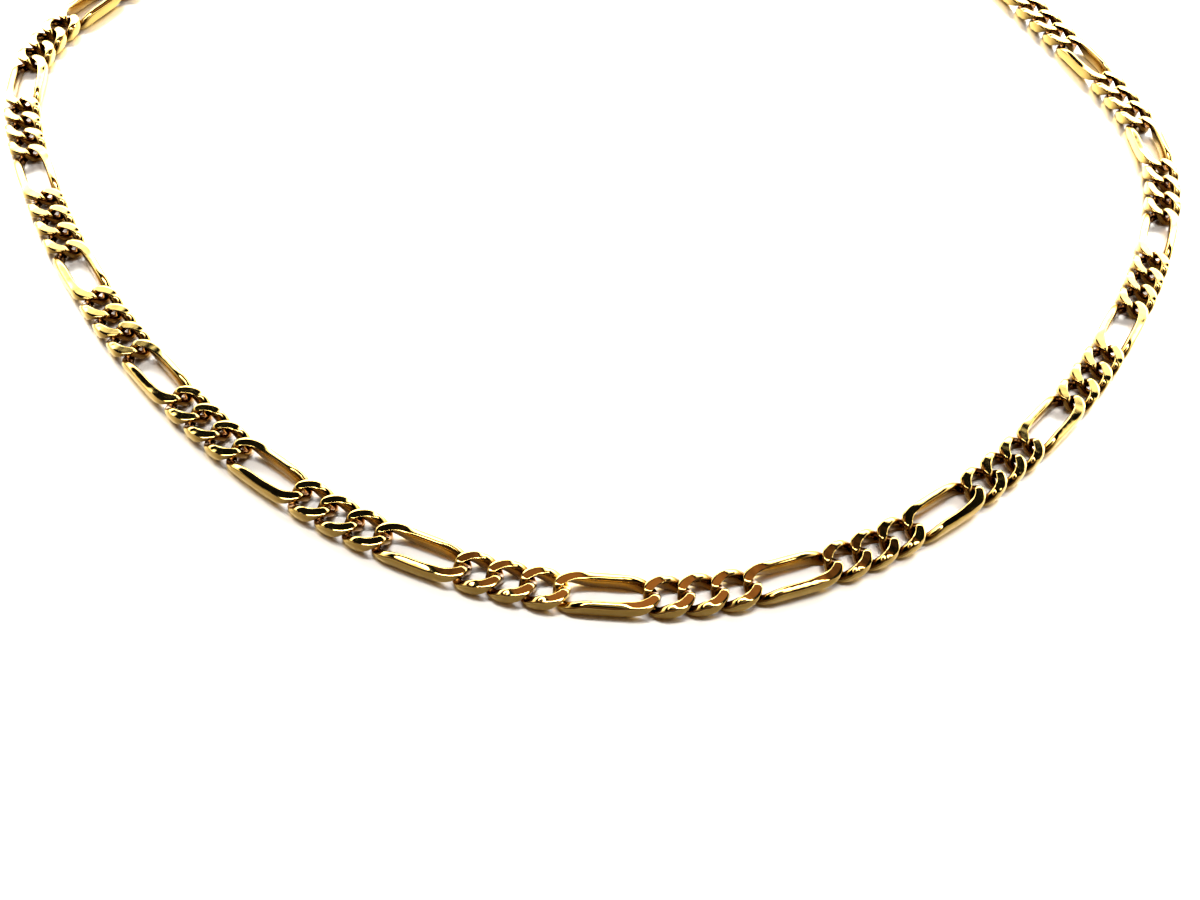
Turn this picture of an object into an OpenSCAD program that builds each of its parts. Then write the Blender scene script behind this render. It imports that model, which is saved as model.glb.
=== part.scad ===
/* [Chain] */
// Number of long links, an odd number so that one of them lies at the front
long_links = 25; // [17:2:33]
// Number of short links between two long ones
short_run = 3; // [2:1:5]
// Width of the chain, across its links
chain_w = 4.1; // [3.8:0.1:5]
// Thickness of the chain, between its two flat faces
chain_t = 1.45; // [1.2:0.05:1.6]

/* [Links] */
// Distance from joint to joint along a short link
short_pitch = 3.1; // [2.9:0.1:4]
// Distance from joint to joint along a long link
long_pitch = 8.1; // [6:0.1:12]
// Width of the wire along the two sides of a link
side_w = 1; // [0.8:0.05:1.1]
// Height of the wire along the sides, before the faces are cut flat
side_h = 1.4; // [1.2:0.05:1.6]
// Width of the wire round the two ends of a link
end_w = 0.66; // [0.5:0.02:0.7]
// Height of the wire round the two ends of a link
end_h = 0.6; // [0.5:0.02:0.7]
// Twist of each end of a link out of the plane of the chain, in degrees
end_twist = 47; // [40:1:50]
// How much wider a long link is at its middle than near its ends
long_bow = 0.2; // [0:0.05:0.4]
// Free space between the wires of two joined links
joint_gap = 0.15; // [0.12:0.01:0.2]

/* [Clasp] */
// Diameter of the clasp's barrel
barrel_d = 2.8; // [2.4:0.1:3.6]
// Length of the clasp's barrel
barrel_l = 9.6; // [8:0.1:12]
// Radius of the rounded edge at each end of the barrel
barrel_edge = 0.5; // [0.3:0.1:0.8]
// Width and depth of the seam round the middle of the barrel
seam = 0.2; // [0.1:0.05:0.3]
// Thickness of the wire of the clasp's two eyes
eye_wire = 0.7; // [0.6:0.05:0.8]
// Radius of an eye, to the middle of its wire
eye_r = 1.15; // [1.1:0.05:1.4]
// Length of chain on each side that rises to the clasp
lift_run = 16; // [12:1:24]

/* [Hidden] */

// The route that the chain lies in, as control points of a closed curve that
// starts at the front. It is scaled to the length of the chain.
ROUTE = [
    [4, -88], [30, -78], [51, -55], [63, -30],
    [67, -10], [56, 11], [39, 42], [26, 72],
    [0, 83], [-28, 76], [-39, 42], [-59, 10],
    [-73, -12], [-67, -31], [-50, -58], [-25, -80]
];
// Points of the curve for each control point
FINE = 24;
// Sections round a short link and a long one, and corners of a section
SHORT_RINGS = 12;
LONG_RINGS = 14;
CORNERS = 6;
// Power of the oval that a link's ends follow: 2 is an ellipse, more is squarer
POWER = 2.8;
// How far the twist of a link gathers at its ends: 1 is even along the link
SHORT_GATHER = 1.4;
LONG_GATHER = 3;
// How far an eye's wire reaches into the end of the barrel
EYE_ROOT = 0.25;

// Lengths along the chain
period = long_pitch + short_run * short_pitch;
side_links = (long_links - 1) / 2 * (short_run + 1) + short_run;
half_chain = long_links / 2 * long_pitch + (long_links + 1) / 2 * short_run * short_pitch;
eye_reach = 2 * eye_r - EYE_ROOT;
clasp_pitch = barrel_l + 2 * eye_reach - eye_wire - joint_gap;
loop_length = 2 * half_chain + clasp_pitch;

// The route: a closed cubic curve, with the length of curve up to each point
function curve(t) =
    let (n = len(ROUTE), i = floor(t), u = t - i)
    (ROUTE[(i + n - 1) % n] * pow(1 - u, 3)
    + ROUTE[i % n] * (3 * pow(u, 3) - 6 * u * u + 4)
    + ROUTE[(i + 1) % n] * (-3 * pow(u, 3) + 3 * u * u + 3 * u + 1)
    + ROUTE[(i + 2) % n] * pow(u, 3)) / 6;
last = len(ROUTE) * FINE;
drawn = [for (i = [0 : last]) curve(i / FINE)];
steps = [for (i = [0 : last - 1]) norm(drawn[i + 1] - drawn[i])];
reach = [for (i = 0, sum = 0; i <= last; sum = sum + (i < last ? steps[i] : 0), i = i + 1) sum];
fit = loop_length / reach[last];
route_x = [for (i = [0 : last]) [reach[i] * fit, drawn[i].x * fit]];
route_y = [for (i = [0 : last]) [reach[i] * fit, drawn[i].y * fit]];
middle = [
    max([for (p = route_x) p.y]) + min([for (p = route_x) p.y]),
    max([for (p = route_y) p.y]) + min([for (p = route_y) p.y])
] / 2;

// Height of the chain's middle: flat on the ground, rising to the clasp
function rise(s) =
    let (u = max(0, 1 - (half_chain - min(abs(s), half_chain)) / lift_run))
    chain_t / 2 + (barrel_d - chain_t) / 2 * u * u * (3 - 2 * u);

// The point of the route at a length s from its front, negative to the left
function at(s) =
    let (r = s < 0 ? s + loop_length : s)
    [lookup(r, route_x) - middle.x, lookup(r, route_y) - middle.y, rise(s)];

// Link number j counts from the long link at the front, negative to the left
function pitch(j) = abs(j) % (short_run + 1) == 0 ? long_pitch : short_pitch;
function place(j) =
    let (q = floor(abs(j) / (short_run + 1)), r = abs(j) % (short_run + 1))
    sign(j) * (q * period + (r == 0 ? 0 : long_pitch / 2 + (r - 0.5) * short_pitch));

// Half the length of a link, to the middle of its wire
function half(pitch) = (pitch + end_w + joint_gap) / 2;

// The middle of a link's wire at the angle u round it, seen flat. Each end is
// half of a short link's oval, and a long link bows between its two ends.
function bend(v) = sign(v) * pow(abs(v), 2 / POWER);
function oval(u, pitch) =
    let (x = half(short_pitch) * bend(cos(u))
            + (half(pitch) - half(short_pitch)) * sign(cos(u)),
        bow = pitch > short_pitch ? long_bow / 2 * pow(x / half(pitch), 2) : 0)
    [x, ((chain_w - side_w) / 2 - bow) * bend(sin(u))];

// How far a link is twisted at a distance x from its middle
function twist(x, pitch) =
    let (gather = pitch > short_pitch ? LONG_GATHER : SHORT_GATHER)
    -end_twist * sign(x) * pow(abs(x) / half(pitch), gather);

// The corners of the wire's section at the angle u, twisted with the link and
// cut flat at the chain's two faces
function section(u, pitch) =
    let (p = oval(u, pitch),
        d = oval(u + 1, pitch) - oval(u - 1, pitch),
        out = [d.y, -d.x] / norm(d),
        end = out.x * out.x,
        w = end_w * end + side_w * (1 - end),
        h = end_h * end + side_h * (1 - end),
        a = twist(p.x, pitch),
        mid = [p.x, p.y * cos(a), p.y * sin(a)],
        across = [out.x, out.y * cos(a), out.y * sin(a)],
        up = [0, -sin(a), cos(a)])
    [for (k = [0 : CORNERS - 1])
        let (turn = k * 360 / CORNERS,
            c = mid + across * w / 2 * cos(turn) + up * h / 2 * sin(turn) / sin(360 / CORNERS))
        [c.x, c.y, max(-chain_t / 2, min(chain_t / 2, c.z))]];

// One link, lying along X with its middle at the origin
module link(pitch) {
    rings = pitch > short_pitch ? LONG_RINGS : SHORT_RINGS;
    points = [for (i = [0 : rings - 1]) each section(i * 360 / rings, pitch)];
    faces = [for (i = [0 : rings - 1], k = [0 : CORNERS - 1])
        let (i2 = (i + 1) % rings, k2 = (k + 1) % CORNERS,
            a = i * CORNERS + k, b = i * CORNERS + k2,
            c = i2 * CORNERS + k2, d = i2 * CORNERS + k)
        each [[a, b, c], [a, c, d]]];
    polyhedron(points, faces, convexity = 6);
}

// What lies along X is set between two points of the route
module lay(from, to) {
    d = to - from;
    translate((from + to) / 2)
        rotate([0, -asin(d.z / norm(d)), atan2(d.y, d.x)])
            children();
}

module links(first, final) {
    color("gold")
        for (j = [first : final])
            lay(at(place(j) - pitch(j) / 2), at(place(j) + pitch(j) / 2))
                link(pitch(j));
}

// The links to the left of the front one
module chain_left() {
    links(-side_links, -1);
}

// The front link and those to the right of it
module chain_right() {
    links(0, side_links);
}

// Half of the barrel's outline, from its middle to one end
module barrel_half() {
    r = barrel_d / 2;
    difference() {
        union() {
            square([r, barrel_l / 2 - barrel_edge]);
            square([r - barrel_edge, barrel_l / 2]);
            translate([r - barrel_edge, barrel_l / 2 - barrel_edge])
                circle(r = barrel_edge, $fn = 32);
        }
        translate([r - seam, 0])
            square([2 * seam, seam / 2]);
    }
}

// An eye of round wire, twisted like the end of a link
module eye(side) {
    translate([side * (barrel_l / 2 + eye_r - EYE_ROOT), 0, 0])
        rotate([-side * end_twist, 0, 0])
            rotate_extrude($fn = 48)
                translate([eye_r, 0])
                    circle(d = eye_wire, $fn = 24);
}

// A plain barrel with an eye at each end, closed and in one piece
module clasp() {
    color("gold")
        lay(at(half_chain), at(-half_chain))
            for (side = [-1, 1]) {
                rotate([0, side * 90, 0])
                    rotate_extrude($fn = 64)
                        barrel_half();
                eye(side);
            }
}

chain_left();
chain_right();
clasp();
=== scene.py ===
"""A figaro chain of polished yellow gold, laid out as an open loop on a white surface."""
import math

import bpy
import numpy as np
from mathutils import Matrix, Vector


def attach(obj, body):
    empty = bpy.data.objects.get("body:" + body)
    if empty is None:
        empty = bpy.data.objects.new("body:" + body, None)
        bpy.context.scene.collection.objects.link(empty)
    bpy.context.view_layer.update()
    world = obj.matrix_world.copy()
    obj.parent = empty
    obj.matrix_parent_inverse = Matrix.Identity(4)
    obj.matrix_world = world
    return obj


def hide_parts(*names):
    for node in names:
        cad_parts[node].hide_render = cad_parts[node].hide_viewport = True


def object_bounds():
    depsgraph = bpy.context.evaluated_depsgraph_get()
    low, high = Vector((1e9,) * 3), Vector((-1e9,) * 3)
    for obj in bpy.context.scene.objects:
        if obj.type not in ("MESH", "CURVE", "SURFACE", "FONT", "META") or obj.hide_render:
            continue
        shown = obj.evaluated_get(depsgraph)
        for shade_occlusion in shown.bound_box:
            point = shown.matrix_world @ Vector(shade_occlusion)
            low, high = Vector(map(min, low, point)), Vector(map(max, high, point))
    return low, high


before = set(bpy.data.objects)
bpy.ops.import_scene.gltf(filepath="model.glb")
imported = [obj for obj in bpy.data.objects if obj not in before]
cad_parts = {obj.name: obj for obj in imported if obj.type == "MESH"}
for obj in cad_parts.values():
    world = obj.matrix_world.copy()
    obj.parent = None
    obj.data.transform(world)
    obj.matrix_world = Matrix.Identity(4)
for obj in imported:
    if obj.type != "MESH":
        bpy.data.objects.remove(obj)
CAD_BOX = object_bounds()
MM = 0.001

# ---- the form of a link, in millimetres, the same as in the part's own source
CHAIN_W = 4.1
CHAIN_T = 1.45
SHORT_PITCH = 3.1
LONG_PITCH = 8.1
JOINT_GAP = 0.15
END_WIRE = 0.66
SIDE_W = 1.0
LONG_BOW = 0.2
END_TWIST = math.radians(47)
# how the twist gathers toward the ends of a link: 1 is even, more leaves the middle flat
SHORT_TWIST_POWER = 1.4
LONG_TWIST_POWER = 3.0
# the oval of a link and the section of its wire: 2 is an ellipse, more is squarer
OVAL_POWER = 2.8
WIRE_POWER = 2.8

# ---- the finish that only the detailed links have, in millimetres
# the height of the wire along a link's sides, before its faces are cut
SIDE_H = 1.56
# the wire round a link's ends, thick enough to all but touch its neighbour
END_W = 0.80
END_H = 0.80
# half the width of the rounding between a flat face and the wire's side
EDGE = 0.045
# the faces fall away toward the chain's two edges: over what width, by how much per
# square millimetre, and how high the wire must be lifted for them to stay flat instead
SHOULDER_W = 0.76
SHOULDER = 0.36
SHOULDER_LIFT = 0.35
# how deep the cut faces waver, and over what length
WAVER = 0.003
WAVER_RUN = 0.55
# shares of that depth: the mean, and the swing of two waves, by their turns in that length
WAVER_MEAN = 0.6
WAVER_SWING = 0.5
WAVER_TURNS = (2, 3.7)

# ---- how finely the links are meshed
SHORT_RINGS = 52
LONG_RINGS = 92
# steps across a face and down a side
FACE_STEPS = 4
SIDE_STEPS = 7
# steps in which a link's oval and the section of its wire are first drawn
OVAL_STEPS = 4800
SECTION_STEPS = 4320
# least steps of the section from its top to the start, middle and end of a face's rounding
LEAST_FACE = (180, 240, 300)
# how far on both sides of a ring its direction is read, in steps from ring to ring
DIRECTION_REACH = 0.4


# ---- one link as a mesh, lying along X with its middle at the origin
def bend(v, power):
    return np.sign(v) * np.abs(v) ** (2 / power)


def half_length(pitch):
    return (pitch + END_WIRE + JOINT_GAP) / 2


def oval(u, pitch):
    """The middle of the wire at the angle u round the link, seen flat."""
    end, half = half_length(SHORT_PITCH), half_length(pitch)
    x = end * bend(np.cos(u), OVAL_POWER) + (half - end) * np.sign(np.round(np.cos(u), 9))
    bow = LONG_BOW / 2 * (x / half) ** 2 if pitch > SHORT_PITCH else 0 * x
    y = ((CHAIN_W - SIDE_W) / 2 - bow) * bend(np.sin(u), OVAL_POWER)
    return np.stack([x, y], axis=-1)


def path(pitch, rings):
    """Points round the wire's middle at even steps, and the direction outward at each."""
    p = oval(np.linspace(0, 2 * np.pi, OVAL_STEPS + 1), pitch)
    s = np.concatenate([[0], np.cumsum(np.linalg.norm(np.diff(p, axis=0), axis=1))])

    def point(at):
        return np.stack([np.interp(at, s, p[:, k]) for k in (0, 1)], axis=-1)

    at = np.arange(rings) / rings * s[-1]
    step = s[-1] / rings * DIRECTION_REACH
    d = point((at + step) % s[-1]) - point((at - step) % s[-1])
    out = np.stack([d[:, 1], -d[:, 0]], axis=-1)
    return point(at), out / np.linalg.norm(out, axis=1, keepdims=True)


def shoulder_start(lift):
    """How far off the chain's middle a face starts to fall away, by the wire's lift there."""
    u = min(max(lift / SHOULDER_LIFT, 0), 1)
    return CHAIN_W / 2 - SHOULDER_W * (1 - u * u * (3 - 2 * u))


def soft_cut(z, upper, lower):
    """z held between two faces, rounded where it meets them."""
    def under(v, face):
        over = np.clip((v - face + EDGE) / (2 * EDGE), 0, 1)
        return np.where(v > face + EDGE, face, v - EDGE * over ** 2)
    return -under(-under(z, upper), lower)


def face_edges(z, upper, lower):
    """Where a section leaves its faces: upper outer, upper inner, lower inner, lower outer.

    Each has three indices, for the start, the middle and the end of the rounding there.
    """
    count = len(z)
    edges = []
    for level, sign in ((upper, 1), (lower, -1)):
        start = int(np.argmax(sign * z - level))
        for way in (-1, 1):
            run = (start + way * np.arange(count // 2)) % count
            over = sign * z[run] - level[run]
            for least, margin in zip(LEAST_FACE, (EDGE, 0, -EDGE)):
                below = np.nonzero(over < margin)[0]
                edges.append(int(run[max(least, below[0] if len(below) else len(run) - 1)]))
    return edges


def span(first, last, steps, size):
    """Indices from first up to, but without, last, going upward round a ring."""
    run = (last - first) % size
    return [int(round(first + run * k / steps)) % size for k in range(steps)]


def link_mesh(pitch, rings, seed):
    """(points, quads) of a twisted link with both faces cut flat."""
    rng = np.random.default_rng(seed)
    q, out = path(pitch, rings)
    half = half_length(pitch)
    end = out[:, 0] ** 2
    w = END_W * end + SIDE_W * (1 - end)
    h = END_H * end + SIDE_H * (1 - end)
    gather = LONG_TWIST_POWER if pitch > SHORT_PITCH else SHORT_TWIST_POWER
    a = -END_TWIST * np.sign(q[:, 0]) * np.abs(q[:, 0] / half) ** gather
    zero = np.zeros(rings)
    mid = np.stack([q[:, 0], q[:, 1] * np.cos(a), q[:, 1] * np.sin(a)], axis=-1)
    across = np.stack([out[:, 0], out[:, 1] * np.cos(a), out[:, 1] * np.sin(a)], axis=-1)
    up = np.stack([zero, -np.sin(a), np.cos(a)], axis=-1)

    # the cut faces waver a little along the link, as cut metal does
    depth = WAVER_MEAN
    for turns, phase in zip(WAVER_TURNS, rng.uniform(0, 2 * np.pi, len(WAVER_TURNS))):
        depth = depth + WAVER_SWING * np.sin(q[:, 0] / WAVER_RUN * turns + phase)
    face = CHAIN_T / 2 - WAVER * depth

    # points round each section, close together where a face meets the side
    t = np.linspace(0, 2 * np.pi, SECTION_STEPS + 1)[:-1]
    c, s = bend(np.cos(t), WIRE_POWER), bend(np.sin(t), WIRE_POWER)
    points = []
    for i in range(rings):
        full = mid[i] + np.outer(c * w[i] / 2, across[i]) + np.outer(s * h[i] / 2, up[i])
        upper, lower = (
            face[i] - SHOULDER * np.clip(np.abs(full[:, 1]) - shoulder_start(lift), 0, None) ** 2
            for lift in (mid[i, 2], -mid[i, 2]))
        m = face_edges(full[:, 2], upper, lower)
        # across the upper face, down the inner side, across the lower face, up the outer side
        ring = [
            *span(m[0], m[3], FACE_STEPS, len(t)), m[3], m[4],
            *span(m[5], m[8], SIDE_STEPS, len(t)), m[8], m[7],
            *span(m[6], m[9], FACE_STEPS, len(t)), m[9], m[10],
            *span(m[11], m[2], SIDE_STEPS, len(t)), m[2], m[1]]
        cut = full[ring]
        cut[:, 2] = soft_cut(cut[:, 2], upper[ring], lower[ring])
        points.append(cut)
    points = np.array(points)

    # a quad between each point, the next one round its ring, and the same two a ring on
    n = points.shape[1]
    here = np.arange(rings)[:, None] * n
    there = ((np.arange(rings) + 1) % rings)[:, None] * n
    k = np.arange(n)[None, :]
    quads = np.stack([here + k, there + k, there + (k + 1) % n, here + (k + 1) % n], axis=-1)
    return points.reshape(-1, 3), quads.reshape(-1, 4)


# ---- where the links lie, from the chain's own solids
def islands(node):
    """The loose solids of a node, as arrays of their points in millimetres."""
    mesh = node.data
    v = np.empty(len(mesh.vertices) * 3)
    mesh.vertices.foreach_get("co", v)
    v = v.reshape(-1, 3) / MM
    keys, index = np.unique(np.round(v, 4), axis=0, return_inverse=True)
    index = index.reshape(-1)
    parent = np.arange(len(keys))

    def root(i):
        while parent[i] != i:
            parent[i] = parent[parent[i]]
            i = parent[i]
        return i
    for e in mesh.edges:
        a, b = root(index[e.vertices[0]]), root(index[e.vertices[1]])
        parent[a] = b
    roots = np.array([root(i) for i in range(len(keys))])
    return [keys[roots == r] for r in np.unique(roots)]


def place(points):
    """(matrix, is long) of the link that the points of a solid belong to."""
    low, high = points.min(0), points.max(0)
    mid = (points.mean(0) + (low + high) / 2) / 2
    _, _, axes = np.linalg.svd(points - points.mean(0), full_matrices=False)
    x, z = axes[0], axes[2]
    z = z if z[2] > 0 else -z
    size = np.ptp((points - mid) @ x)
    mid = mid + x * ((points - mid) @ x).min() + x * size / 2
    m = np.eye(4)
    m[:3, 0], m[:3, 1], m[:3, 2], m[:3, 3] = x, np.cross(z, x), z, mid
    return m, size > (SHORT_PITCH + LONG_PITCH) / 2


def new_object(name, points, faces, smooth=True):
    mesh = bpy.data.meshes.new(name)
    mesh.from_pydata(np.asarray(points, float).tolist(), [], np.asarray(faces).tolist())
    mesh.update()
    if smooth:
        mesh.polygons.foreach_set("use_smooth", [True] * len(mesh.polygons))
    obj = bpy.data.objects.new(name, mesh)
    bpy.context.collection.objects.link(obj)
    return obj


def chain(name, node):
    """A detailed chain in place of one of the two plain ones."""
    points, faces, count = [], [], 0
    for number, solid in enumerate(islands(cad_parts[node])):
        m, is_long = place(solid)
        pitch, rings = (LONG_PITCH, LONG_RINGS) if is_long else (SHORT_PITCH, SHORT_RINGS)
        p, q = link_mesh(pitch, rings, number)
        p = p @ m[:3, :3].T + m[:3, 3]
        points.append(p * MM)
        faces.append(q + count)
        count += len(p)
    obj = new_object(name, np.concatenate(points), np.concatenate(faces))
    obj.modifiers.new("faces", "WEIGHTED_NORMAL").weight = 50
    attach(obj, "root")
    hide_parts(node)
    return obj


# ---- the gold, a little uneven in colour and polish, with painted shade darkening its corners
GOLD_TONES = ((0.91, 0.63, 0.17, 1), (0.96, 0.70, 0.22, 1))
ROUGHNESS = 0.05
# the noise behind the tones and behind the polish, in waves to the metre
TONE_SCALE = 900
POLISH_SCALE = 2600
POLISH_DETAIL = 6
# the stretch of the noise that counts, and how many times the roughness its two ends give
POLISH_RANGE = (0.3, 0.75)
POLISH_TIMES = (0.6, 1.7)
# how strongly the fine scratches show, and how deep they are, in metres
SCRATCH = 0.08
SCRATCH_DEPTH = 0.00002
# painted shade: in the corners between links and on the walls of their holes the gold is painted
# darker
# and redder as shade: that shaded colour, how far off another wire darkens it, in millimetres,
# and how quickly
PAINTED_SHADE_GOLD = (0.22, 0.09, 0.012, 1)
SHADE_REACH = 3.4
SHADE_POWER = 4.0
SHADE_SAMPLES = 8
# where a colour mix node has its two colours, and its result
MIX_A, MIX_B, MIX_OUT = 6, 7, 2


def gold(name):
    mat = bpy.data.materials.new(name)
    mat.use_nodes = True
    nodes, wires = mat.node_tree.nodes, mat.node_tree.links
    shader = nodes["Principled BSDF"]
    shader.inputs["Metallic"].default_value = 1
    where = nodes.new("ShaderNodeTexCoord").outputs["Object"]

    tone = nodes.new("ShaderNodeTexNoise")
    tone.inputs["Scale"].default_value = TONE_SCALE
    wires.new(where, tone.inputs["Vector"])
    tones = nodes.new("ShaderNodeValToRGB")
    for element, colour in zip(tones.color_ramp.elements, GOLD_TONES):
        element.color = colour
    wires.new(tone.outputs["Fac"], tones.inputs["Fac"])

    # painted shade: an occlusion mask darkens and reddens the gold where other wires are near
    shade_occlusion = nodes.new("ShaderNodeAmbientOcclusion")
    shade_occlusion.samples = SHADE_SAMPLES
    shade_occlusion.only_local = True
    shade_occlusion.inputs["Distance"].default_value = SHADE_REACH * MM
    painted_shade = nodes.new("ShaderNodeMix")
    painted_shade.data_type = "RGBA"
    painted_shade.inputs[MIX_A].default_value = PAINTED_SHADE_GOLD
    deep = nodes.new("ShaderNodeMath")
    deep.operation = "POWER"
    deep.inputs[1].default_value = SHADE_POWER
    wires.new(shade_occlusion.outputs["AO"], deep.inputs[0])
    wires.new(deep.outputs[0], painted_shade.inputs["Factor"])
    wires.new(tones.outputs["Color"], painted_shade.inputs[MIX_B])
    wires.new(painted_shade.outputs[MIX_OUT], shader.inputs["Base Color"])

    polish = nodes.new("ShaderNodeTexNoise")
    polish.inputs["Scale"].default_value = POLISH_SCALE
    polish.inputs["Detail"].default_value = POLISH_DETAIL
    wires.new(where, polish.inputs["Vector"])
    spread = nodes.new("ShaderNodeMapRange")
    for end, noise, times in zip(("Min", "Max"), POLISH_RANGE, POLISH_TIMES):
        spread.inputs["From " + end].default_value = noise
        spread.inputs["To " + end].default_value = ROUGHNESS * times
    wires.new(polish.outputs["Fac"], spread.inputs["Value"])
    wires.new(spread.outputs["Result"], shader.inputs["Roughness"])

    bump = nodes.new("ShaderNodeBump")
    bump.inputs["Strength"].default_value = SCRATCH
    bump.inputs["Distance"].default_value = SCRATCH_DEPTH
    wires.new(polish.outputs["Fac"], bump.inputs["Height"])
    wires.new(bump.outputs["Normal"], shader.inputs["Normal"])
    return mat


gold_wire = gold("gold_wire")

left = chain("chain_left_links", "chain_left")
right = chain("chain_right_links", "chain_right")
for piece in (left, right):
    piece.data.materials.append(gold_wire)
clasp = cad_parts["clasp"]
clasp.data.materials.clear()
clasp.data.materials.append(gold_wire)

# ---- the surface, a satin white, just under the chain
FLOOR_HALF = 1.5
FLOOR_DROP = 0.01 * MM
corners = [(x * FLOOR_HALF, y * FLOOR_HALF, 0) for x, y in ((-1, -1), (1, -1), (1, 1), (-1, 1))]
floor = new_object("floor", corners, [(0, 1, 2, 3)], smooth=False)
floor.location.z = CAD_BOX[0][2] - FLOOR_DROP
paper = bpy.data.materials.new("white_surface")
paper.use_nodes = True
paper_shader = paper.node_tree.nodes["Principled BSDF"]
paper_shader.inputs["Base Color"].default_value = (0.98, 0.95, 0.89, 1)
paper_shader.inputs["Roughness"].default_value = 0.43
paper_shader.inputs["Metallic"].default_value = 0.95
floor.data.materials.append(paper)

# ---- the studio: a bright backdrop, a dark ceiling and a narrow bright strip overhead
world = bpy.data.worlds.new("studio")
bpy.context.scene.world = world
world.use_nodes = True
nodes, wires = world.node_tree.nodes, world.node_tree.links
back = nodes["Background"]
way = nodes.new("ShaderNodeTexCoord").outputs["Generated"]
split = nodes.new("ShaderNodeSeparateXYZ")
wires.new(way, split.inputs["Vector"])


def math_node(operation, a, b=None):
    node = nodes.new("ShaderNodeMath")
    node.operation = operation
    for socket, value in zip(node.inputs, (a, b)):
        if isinstance(value, (int, float)):
            socket.default_value = value
        elif value is not None:
            wires.new(value, socket)
    return node.outputs[0]


def ramp(value, whole, stops):
    """A ramp over value, whose 1 stands for whole degrees, with stops of (degrees, colour)."""
    node = nodes.new("ShaderNodeValToRGB")
    wires.new(value, node.inputs["Fac"])
    elements = node.color_ramp.elements
    while len(elements) < len(stops):
        elements.new(0.5)
    for element, (degrees, colour) in zip(elements, stops):
        element.position = degrees / whole
        element.color = (*colour, 1) if isinstance(colour, tuple) else (colour, colour, colour, 1)
    return node.outputs["Color"]


def mix(kind, a, b):
    node = nodes.new("ShaderNodeMix")
    node.data_type = "RGBA"
    node.blend_type = kind
    node.inputs["Factor"].default_value = 1
    wires.new(a, node.inputs[MIX_A])
    wires.new(b, node.inputs[MIX_B])
    return node.outputs[MIX_OUT]


# a ramp holds colours up to 1, so brightness is divided by this and given back as strength
BRIGHTEST = 15.0
# (degrees above the horizon, brightness), straight behind the chain
BACKDROP = (
    (0, 0.8), (12, 1.5), (20, 3.4), (28, 6.5), (34, 8.0), (37, 4.4), (40, 2.4), (43, 1.5),
    (44.2, 0.4), (45, 0.005), (54, 0.004), (61, 0.01), (66, 0.1),
    (67.5, 13.0), (72.5, 13.0), (75, 0.25), (90, 0.2))
# (degrees to either side of straight behind the chain, the share of it that is left)
TO_THE_SIDES = (
    (0, (1.0, 1.0, 1.0)), (42, (1.0, 1.0, 1.0)), (65, (0.5, 0.48, 0.45)),
    (95, (0.15, 0.13, 0.11)), (120, (0.03, 0.018, 0.010)), (180, (0.02, 0.011, 0.006)))
# a warm patch between the dark ceiling and the strip: where it is, its radius and the
# width of its soft edge, both in degrees, and its colour
PATCH_AZ, PATCH_EL = math.radians(5), math.radians(59)
PATCH_R = 11.0
PATCH_EDGE = 6
PATCH_COLOUR = tuple(c / BRIGHTEST for c in (0.36, 0.16, 0.08))

height = math_node("DIVIDE", math_node("ARCSINE", split.outputs["Z"]), math.pi / 2)
azimuth = math_node("ARCTAN2", split.outputs["X"], split.outputs["Y"])
turn = math_node("DIVIDE", math_node("ABSOLUTE", azimuth), math.pi)
backdrop = ramp(height, 90, [(degrees, value / BRIGHTEST) for degrees, value in BACKDROP])
to_the_sides = ramp(turn, 180, TO_THE_SIDES)
patch = nodes.new("ShaderNodeVectorMath")
patch.operation = "DOT_PRODUCT"
wires.new(way, patch.inputs[0])
patch.inputs[1].default_value = (
    math.sin(PATCH_AZ) * math.cos(PATCH_EL), math.cos(PATCH_AZ) * math.cos(PATCH_EL),
    math.sin(PATCH_EL))
off = math_node("DIVIDE", math_node("ARCCOSINE", patch.outputs["Value"]), math.pi)
warm = ramp(off, 180, [
    (0, PATCH_COLOUR), (PATCH_R - PATCH_EDGE, PATCH_COLOUR), (PATCH_R, (0.0, 0.0, 0.0))])
wires.new(mix("ADD", mix("MULTIPLY", backdrop, to_the_sides), warm), back.inputs["Color"])
back.inputs["Strength"].default_value = BRIGHTEST

# a weak warm lamp, hidden from the metal's reflections
LAMP_SIZE = (0.12, 0.05)
LAMP_AT = (0, 0.05, 0.34)
LAMP_TILT = math.radians(-12)
lamp = bpy.data.lights.new("overhead", "AREA")
lamp.shape = "RECTANGLE"
lamp.size, lamp.size_y = LAMP_SIZE
lamp.energy = 1.0
lamp.color = (1.0, 0.84, 0.66)
overhead = bpy.data.objects.new("overhead", lamp)
overhead.location = LAMP_AT
overhead.rotation_euler = (LAMP_TILT, 0, 0)
overhead.visible_glossy = False
bpy.context.collection.objects.link(overhead)

# ---- the camera, at the place that the photograph was taken from
LENS_MM = 45.0
SENSOR_MM = 36.0
PITCH = math.radians(49.42)
ROLL = math.radians(5.46)
EYE = np.array([4.25, -160.16, 111.03]) * MM
ahead = np.array([0, math.cos(PITCH), -math.sin(PITCH)])
sideways = np.array([1.0, 0, 0])
above = np.cross(sideways, ahead)
camera_right = sideways * math.cos(ROLL) + above * math.sin(ROLL)
camera_up = -sideways * math.sin(ROLL) + above * math.cos(ROLL)
data = bpy.data.cameras.new("camera")
data.lens = LENS_MM
data.sensor_width = SENSOR_MM
data.clip_start = 0.005
data.clip_end = 20
camera = bpy.data.objects.new("camera", data)
camera.matrix_world = Matrix([
    (*(float(c) for c in row), float(e))
    for row, e in zip(np.stack([camera_right, camera_up, -ahead], axis=1), EYE)
] + [(0, 0, 0, 1)])
bpy.context.collection.objects.link(camera)
bpy.context.scene.camera = camera

bpy.context.scene.view_settings.view_transform = "Standard"
